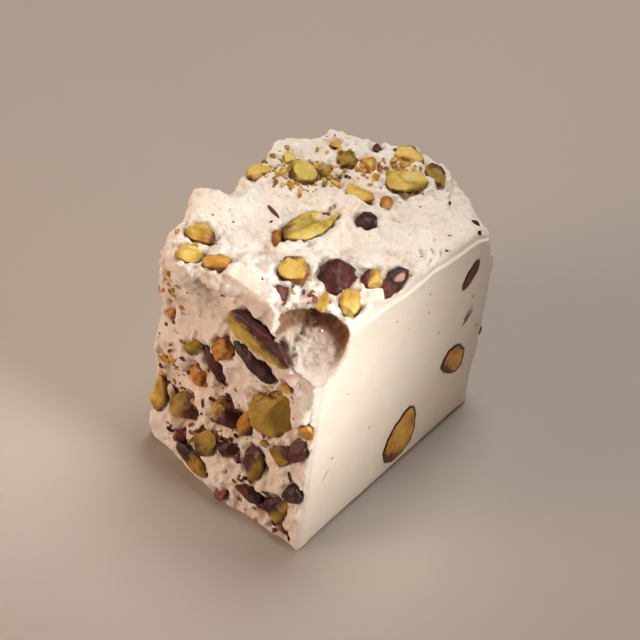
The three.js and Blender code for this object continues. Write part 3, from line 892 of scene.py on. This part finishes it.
bared = tree_of(*[kernel for kernel in kernels if kernel.name.startswith(LAID_BARE)])
to_front = Vector(OUTWARD["torn"]).normalized()
lying_over = np.zeros(len(points))
for i in np.flatnonzero((gaps < GAP_REACH) & (out @ to_front > 0.2)):
    reached = bared.ray_cast(Vector(points[i]) + BARE_FROM * to_front, -to_front)[0]
    if reached is not None:
        lying_over[i] = max((Vector(points[i]) - reached).dot(to_front) + BARE_CLEAR, 0)
lying_over = np.maximum(lying_over, averaged(block, lying_over, 3))
points -= lying_over[:, None] * np.array(to_front)
move_points(block, points)
weigh(block, "beside_kernels", smooth_step((2.5 - gaps) / 1.5) * torn * (1 - in_cut))
finish_with(block, "SMOOTH", factor=0.5, iterations=2, vertex_group="beside_kernels")
weigh(block, "worn_edge", top_edge * smooth_step((EDGE_REACH - to_edge) / 1.2))
finish_with(block, "SMOOTH", factor=0.5, iterations=10, vertex_group="worn_edge")
# Painted shade: the paste is tinted tan where it lies deeper than the block's shape, in its hollows.
store(block, "hollow", np.clip(0.5 + (hollow + push) / 1.6, 0, 1))
store(block, "torn_share", torn)
# Painted shade: the paste is browner in the crevices beside the kernels, in the slits round the sliced ones,
# and in the scratches.
crevice_shade = smooth_step((1 - over) * crevice / CREVICE_DEPTH * 1.4)
crevice_shade[in_cut] = slit[in_cut]
# Painted shade in the chip: darkest in a band under the top's rim and down beside the cut, lighter over the
# rest of its wall.
chip_shade = np.maximum(smooth_step(1.8 * under_rim), CHIP_PAINTED_SHADE * in_chip)
store(block, "by_kernel", np.maximum(crevice_shade, np.maximum(chip_shade, 0.7 * scratch)))
select_only(block)
bpy.ops.object.shade_smooth_by_angle(angle=math.radians(60))

# Torn halva is matt and floury and creamy white. Painted shade makes it tan in its hollows, browner in the
# crevices and slits beside the kernels and in the scratches, and browner still in the chip, most under its
# rim. The knife's sides are smoother, with a faint sheen of sesame oil. A little light goes in.
materials["halva"], tree, shader = new_material("pressed_sesame_halva")
place = add_node(tree, "TexCoord", output="Object")
torn_share = add_node(tree, "Attribute", output="Fac", attribute_name="torn_share")
hollow_shade_share = add_node(tree, "Attribute", output="Fac", attribute_name="hollow")
painted_shade_share = add_node(tree, "Attribute", output="Fac", attribute_name="by_kernel")
cloud = add_node(tree, "TexNoise", of_size(9, place, Detail=4, Roughness=0.6))
torn_tints = [(0.3, "#ECDFCE"), (0.5, "#F3EADF"), (0.7, "#F8F3EB")]
torn_colour = add_node(tree, "ValToRGB", {"Fac": cloud}, torn_tints)
cut_colour = add_node(tree, "ValToRGB", {"Fac": cloud}, [(0.3, "#EDE0CF"), (0.7, "#F3E9DC")])
colour = paint_over(tree, cut_colour, torn_share, torn_colour)
# painted shade in the hollows
colour = paint_over(tree, colour, hollow_shade_share, "#D8BCA0", [(0.58, 0), (1, 0.55)])
# painted shade: brown in the crevices, slits, scratches and chip
colour = paint_over(tree, colour, painted_shade_share, "#7E522E", [(0.2, 0), (1, 0.9)])

# Specks of bran lie a few millimetres apart. The grit of sesame and sugar is too fine to show, so it is drawn
# as coarse as 0.6 millimetres.
from_speck = add_node(tree, "TexVoronoi", of_size(3.4, place), output="Distance")
some_cells = add_node(tree, "ValToRGB", {"Fac": from_speck.node.outputs["Color"]}, [(0.45, 0), (0.47, 1)])
speck = add_node(tree, "ValToRGB", {"Fac": from_speck}, [(0.05, 1), (0.09, 0)])
speck = add_node(tree, "Math", {0: speck, 1: some_cells}, operation="MULTIPLY")
colour = paint_over(tree, colour, speck, "#8A6040")
grit = add_node(tree, "TexNoise", of_size(0.6, place, Detail=3, Roughness=0.7))
less_in_cuts = add_node(tree, "MapRange", {"Value": torn_share, "To Min": 0.25})
gritty = add_node(tree, "ValToRGB", {"Fac": grit}, [(0.36, 0.22), (0.5, 0)])
gritty = add_node(tree, "Math", {0: gritty, 1: less_in_cuts}, operation="MULTIPLY")
colour = paint_over(tree, colour, gritty, "#B48A62")

# Fine strands run the way of the fibres, and the knife's drag left faint level streaks.
turned = (0, math.radians(FIBRE_TILT), 0)
strands = add_node(tree, "Mapping", {"Vector": place, "Rotation": turned, "Scale": (0.25, 1, 1)})
strand = add_node(tree, "TexNoise", of_size(0.9, strands, Detail=3, Roughness=0.6))
rough = add_node(tree, "Math", {0: strand, 1: grit}, operation="ADD")
rough = add_node(tree, "Math", {0: rough, 1: torn_share}, operation="MULTIPLY")
smear = add_node(tree, "Mapping", {"Vector": place, "Scale": (1, 0.5, 3)})
drag = add_node(tree, "TexNoise", of_size(3, smear, Detail=5))
height = add_node(tree, "Math", {0: drag, 1: 0.25, 2: rough}, operation="MULTIPLY_ADD")
finish = {
    "Base Color": colour,
    "Normal": add_node(tree, "Bump", {"Height": height, "Strength": 0.6, "Distance": 0.3 * MM}),
    "Roughness": add_node(tree, "MapRange", {"Value": torn_share, "To Min": 0.58, "To Max": 0.86}),
    "IOR": 1.46,
    "Subsurface Weight": 0.25,
    "Subsurface Radius": (1, 0.6, 0.35),
    "Subsurface Scale": 1.5 * MM,
}
set_inputs(tree, shader, finish)
block.data.materials.clear()
block.data.materials.append(materials["halva"])
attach(block, "root")
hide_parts("halva")

# ---- Crumbs, skin flakes and knife marks ----
# Bits too small to count lie in clusters beside the kernels that they broke from: crumbs of pistachio and of
# paste, and dark flakes of skin. Others were dragged along in the smooth side by the knife.

# Each cluster: where its middle is across and up its face, its reach, how many bits and of which finishes.
CRUMB_CLUSTERS = [
    ("top", -16.2, 9.6, 3, 40, ("gold", "olive")),
    ("top", -8.5, 12.6, 2.8, 44, ("olive", "gold", "amber")),
    ("top", -11.5, 9.5, 5.5, 50, ("gold", "olive", "amber")),
    ("top", -3, 20, 5, 30, ("gold", "amber")),
    ("top", -9.5, 6.4, 2.8, 16, ("olive", "amber")),
    ("top", -12.4, 5.5, 2.4, 12, ("gold", "amber")),
    ("top", -18, 4.3, 2.4, 18, ("gold", "amber")),
    ("top", -5.6, 14.5, 1.8, 10, ("amber", "skin")),
    ("top", -7.9, 18.4, 2.4, 20, ("gold", "amber", "skin")),
    ("top", -4.4, 19.6, 2.4, 18, ("amber", "gold")),
    ("top", 2, 24, 5, 22, ("gold", "amber")),
    ("top", -4.4, -4.6, 1.6, 8, ("amber", "skin")),
    ("top", 10, -14, 4, 24, ("gold", "skin")),
    ("top", -16, -17, 4, 26, ("gold", "amber")),
    ("torn", -17, 44, 5, 22, ("gold", "amber")),
    ("torn", -16, 28, 6, 20, ("amber", "skin")),
    ("torn", -2.3, 13.6, 3.4, 30, ("skin", "olive")),
    ("torn", -9, 12, 5, 44, ("olive", "skin")),
    ("torn", -14.5, 17, 4.5, 30, ("amber", "skin")),
    ("torn", 1, 21, 6, 34, ("olive", "skin")),
    ("torn", -3, 26, 6, 26, ("amber", "skin")),
    ("torn", 11.9, 24.3, 3.5, 20, ("gold", "skin")),
    ("torn", 13, 5, 4, 30, ("amber", "skin")),
    ("torn", 14, 38, 4.5, 14, ("amber", "skin")),
    ("torn", 8, 8, 6, 24, ("skin", "olive")),
    ("back", 0, 28, 18, 80, ("gold", "olive")),
    ("back", 4, 14, 12, 34, ("amber", "skin")),
]
CRUMB_SIZES = (0.5, 2.3)
# Clusters of the largest bits.
RUBBLE = [
    ("top", -12, 11.5, 5, 20, ("green", "gold")),
    ("top", -16.5, 7, 3.5, 8, ("gold", "olive")),
    ("top", -7, 17.5, 4, 8, ("gold", "olive")),
    ("top", 1, 24.5, 4, 6, ("gold", "amber")),
    ("torn", -10, 13, 6, 12, ("olive", "skin")),
    ("torn", 1, 18, 6, 8, ("olive", "skin")),
    ("torn", 12, 5, 5, 8, ("olive", "skin")),
    ("back", 0, 24, 18, 12, ("green", "amber")),
]
RUBBLE_SIZES = (1.6, 3)

# Each flake or mark: its face, where it is across and up, its length, width, thickness and turn.
FLAKES = [
    ("top", 18.3, 26, 2.2, 1.5, 0.5, 30),
    ("top", 20.3, 24.8, 1.4, 1.2, 0.5, 80),
    ("top", -12.8, 27.6, 3.6, 0.9, 0.8, 0),
    ("top", -8.6, -1.9, 4.6, 0.9, 0.9, -12),
    ("top", 12.6, 24.8, 1, 0.7, 0.3, 20),
    ("top", 17.9, 18.5, 1.1, 0.5, 0.3, 60),
    ("top", 20, 15.2, 0.9, 0.5, 0.3, 45),
    ("top", 8, 22.3, 0.8, 0.6, 0.3, 0),
    ("top", -6.5, 25.5, 1.2, 0.9, 0.4, 0),
    ("top", -3.8, 27.9, 2, 0.9, 0.4, 10),
    ("torn", -5, 49.3, 1.5, 0.6, 0.3, 20),
    ("torn", -6.1, 52, 0.9, 0.6, 0.3, -30),
    ("torn", -15.6, 29, 1.6, 0.8, 0.4, 40),
    ("torn", 11.7, 37.9, 1.3, 1, 0.4, 10),
    ("torn", 16.2, 52.3, 1.6, 0.5, 0.3, 70),
    ("torn", -9.3, 32.7, 3, 1.2, 0.7, -55),
    ("torn", -2.6, 28.6, 4.2, 1.2, 0.7, -73),
    ("torn", -8.2, 17.4, 4.6, 1.2, 0.8, -50),
    ("torn", -15.2, 16.2, 4.4, 0.9, 0.6, -74),
    ("torn", -11.2, 8.4, 3.4, 1.5, 0.9, 10),
    ("torn", -13.6, 8.6, 2.4, 1.1, 0.8, -50),
    ("torn", 2.6, 24.4, 4.6, 1.1, 0.8, -62),
    ("torn", -1.4, 14.9, 3.4, 1.2, 0.7, 11),
    ("torn", 4.4, 14.4, 4.2, 0.8, 0.6, -69),
    ("torn", 11, 4.2, 2.4, 1.1, 0.7, -34),
    ("torn", 12, 9.8, 3.2, 1, 0.7, 19),
    ("torn", 14.2, 2.4, 3.4, 1.2, 0.8, 23),
    ("torn", 18.6, 2.4, 2.8, 1.1, 0.8, -44),
    ("torn", 17.4, 18.4, 3, 1, 0.7, -61),
    ("torn", -6, 35.6, 3, 0.8, 0.5, -59),
    ("torn", -8.2, 10.6, 2.8, 0.9, 0.6, -55),
    ("torn", -3.2, 18, 3, 0.9, 0.6, 10),
    ("torn", -6.6, 20.6, 2.8, 0.9, 0.6, -69),
    ("torn", 9.4, 20.2, 2, 0.8, 0.6, -28),
    ("torn", 10.6, 26.4, 2.6, 0.7, 0.5, -50),
    ("knife", 21, 29, 6, 0.5, 0.2, 48),
    ("knife", 24.2, 23.2, 1, 0.6, 0.2, 48),
    ("knife", -20.5, 17.6, 3.7, 0.35, 0.2, 48),
    ("knife", -18.6, 21, 0.9, 0.5, 0.2, 0),
    ("knife", 21, 27.8, 5, 0.8, 0.2, 42),
    ("knife", 22.6, 33.4, 1.6, 0.3, 0.2, 44),
    ("left", 8, 40, 3, 0.4, 0.2, 50),
    ("left", -10, 20, 1.2, 0.6, 0.2, 20),
]
LOOSE_FLAKES = 30  # small ones at random in the torn faces
PASTE_CRUMBS = 430
BLOCK_CRUMBS = 340  # as many of them lie on the paste, and the rest, smaller, on the kernels too
BIT_FLATS = 8  # a crumb is broken flat on so many sides
CRUMB_SUNK = 0.45  # and sunk by so much of its thickness
FLAKE_FLATS = 6
FLAKE_SUNK = 0.3
MARK_SUNK = 0.5
SMALL_FLAKE_FLATS = 4
SMALL_FLAKE_SUNK = 0.4

draw = random.Random(23)
torn_block = tree_of(block)
crumb_ball = ball_of(2)
flake_ball = ball_of(3)


def bit_on(face, across, up, sizes, turn, sunk, ball, flats, skin):
    """A bit of that length, width and thickness, sunk by a share of its thickness, or None off the block."""
    place, outward = on_face(torn_block, face, across, up)
    if place is None or outward.dot(Vector(LOOKING_AT[face])) < 0.2 or place.z < 1:
        return None
    points = (fragment(draw, ball, flats) * np.array(sizes) / 2) @ axes_at(face, outward, turn)
    place = np.array(place) + np.array(outward) * sizes[2] * (0.5 - sunk)
    points = keep_within_cuts(points + place) - place
    return points, place, ball[1], skin


crumb_bits = {}
clusters = [(CRUMB_SIZES, *row) for row in CRUMB_CLUSTERS] + [(RUBBLE_SIZES, *row) for row in RUBBLE]
for size_range, face, across, up, reach, count, finishes in clusters:
    for _ in range(count):
        size = draw.uniform(*size_range) * draw.uniform(0.6, 1)
        sizes = (size, size * draw.uniform(0.5, 0.9), size * draw.uniform(0.4, 0.8))
        at = (across + draw.gauss(0, reach / 2), up + draw.gauss(0, reach / 2))
        turn = draw.uniform(0, 180)
        skin = draw.uniform(-0.2, 0.2)
        bit = bit_on(face, *at, sizes, turn, CRUMB_SUNK, crumb_ball, BIT_FLATS, skin)
        if bit:
            crumb_bits.setdefault(draw.choice(finishes), []).append(bit)
for finish, bits in crumb_bits.items():
    piece_from("pistachio_crumbs_" + finish, bits, "pistachio_" + finish, draw)

flake_bits = []
for face, across, up, *sizes, turn in FLAKES:
    sunk = MARK_SUNK if face in ("knife", "left") else FLAKE_SUNK
    flake_bits.append(bit_on(face, across, up, sizes, turn, sunk, flake_ball, FLAKE_FLATS, FULL_SKIN))
for _ in range(LOOSE_FLAKES):
    face = draw.choice(("top", "torn", "back"))
    size = draw.uniform(0.3, 0.9)
    up = draw.uniform(-24, 28) if face == "top" else draw.uniform(3, 52)
    sizes = (size, size * draw.uniform(0.4, 0.9), 0.3)
    across = draw.uniform(-19, 19)
    turn = draw.uniform(0, 180)
    bit = bit_on(face, across, up, sizes, turn, SMALL_FLAKE_SUNK, crumb_ball, SMALL_FLAKE_FLATS, FULL_SKIN)
    flake_bits.append(bit)
piece_from("pistachio_skin_flakes", [bit for bit in flake_bits if bit], "pistachio_skin", draw)

paste_bits = []
for count in range(PASTE_CRUMBS):
    if count == BLOCK_CRUMBS:
        torn_block = tree_of(block, *kernels, *chips)
    face = draw.choice(("top", "torn", "torn", "back"))
    size = draw.uniform(0.3, 1.3) * draw.uniform(0.5, 1) * (1 if count < BLOCK_CRUMBS else 0.5)
    up = draw.uniform(-24, 28) if face == "top" else draw.uniform(2, 54)
    sizes = (size, size * draw.uniform(0.6, 1), size * 0.7)
    across = draw.uniform(-18, 18)
    turn = draw.uniform(0, 180)
    paste_bits.append(bit_on(face, across, up, sizes, turn, FLAKE_SUNK, crumb_ball, BIT_FLATS, 0))
paste_crumbs = piece_from("halva_crumbs", [bit for bit in paste_bits if bit], "halva", draw)
for name, value in (("torn_share", 1), ("hollow", 0.4), ("by_kernel", 0)):
    store(paste_crumbs, name, np.full(len(paste_crumbs.data.vertices), value))

# ---- Floor, light and camera ----
# The block stands on plain matt paper. A large soft lamp above lights it, a small one shines on the smooth
# cut, and a warm one fills in the torn side.

bpy.ops.mesh.primitive_plane_add(size=4)
floor = bpy.context.object
floor.name = "floor"
# Uncoated paper spreads the light evenly and has no shine.
paper, tree, shader = new_material("matt_pale_paper")
set_inputs(tree, shader, {"Base Color": "#B8B0A8", "Roughness": 0.9})
floor.data.materials.append(paper)

AIM = Vector((0, 0.0015, 0.0275))
WHITE = "#FFFCF8"
WARM = "#FFDCC6"


def soft_light(name, place, aim, size, power, colour, spread=180):
    light = bpy.data.lights.new(name, "AREA")
    light.shape = "DISK"
    light.size = size
    light.energy = power
    light.color = linear(colour)[:3]
    light.spread = math.radians(spread)
    lamp = bpy.data.objects.new(name, light)
    bpy.context.collection.objects.link(lamp)
    lamp.location = place
    lamp.rotation_euler = (Vector(aim) - Vector(place)).to_track_quat("-Z", "Y").to_euler()


soft_light("top_light", (-0.02, 0.16, 0.45), AIM, 0.2, 1.3, WHITE)
soft_light("cut_side_light", (0.205, 0.01, 0.13), (0.0215, -0.027, 0.046), 0.06, 0.0165, WHITE, 25)
soft_light("torn_side_light", (-0.26, -0.36, 0.18), AIM, 0.25, 1.25, WARM)
world = bpy.data.worlds.new("studio")
bpy.context.scene.world = world
world.use_nodes = True
world.node_tree.nodes["Background"].inputs["Color"].default_value = linear("#FFDCC2")
world.node_tree.nodes["Background"].inputs["Strength"].default_value = 0.14
bpy.context.scene.view_settings.view_transform = "Standard"

lens = bpy.data.cameras.new("camera")
camera = bpy.data.objects.new("camera", lens)
bpy.context.collection.objects.link(camera)
camera.location = (0.215, -0.2356, 0.4023)
camera.rotation_euler = (AIM - camera.location).to_track_quat("-Z", "Y").to_euler()
lens.lens = 140
lens.clip_start = 0.01
bpy.context.scene.camera = camera
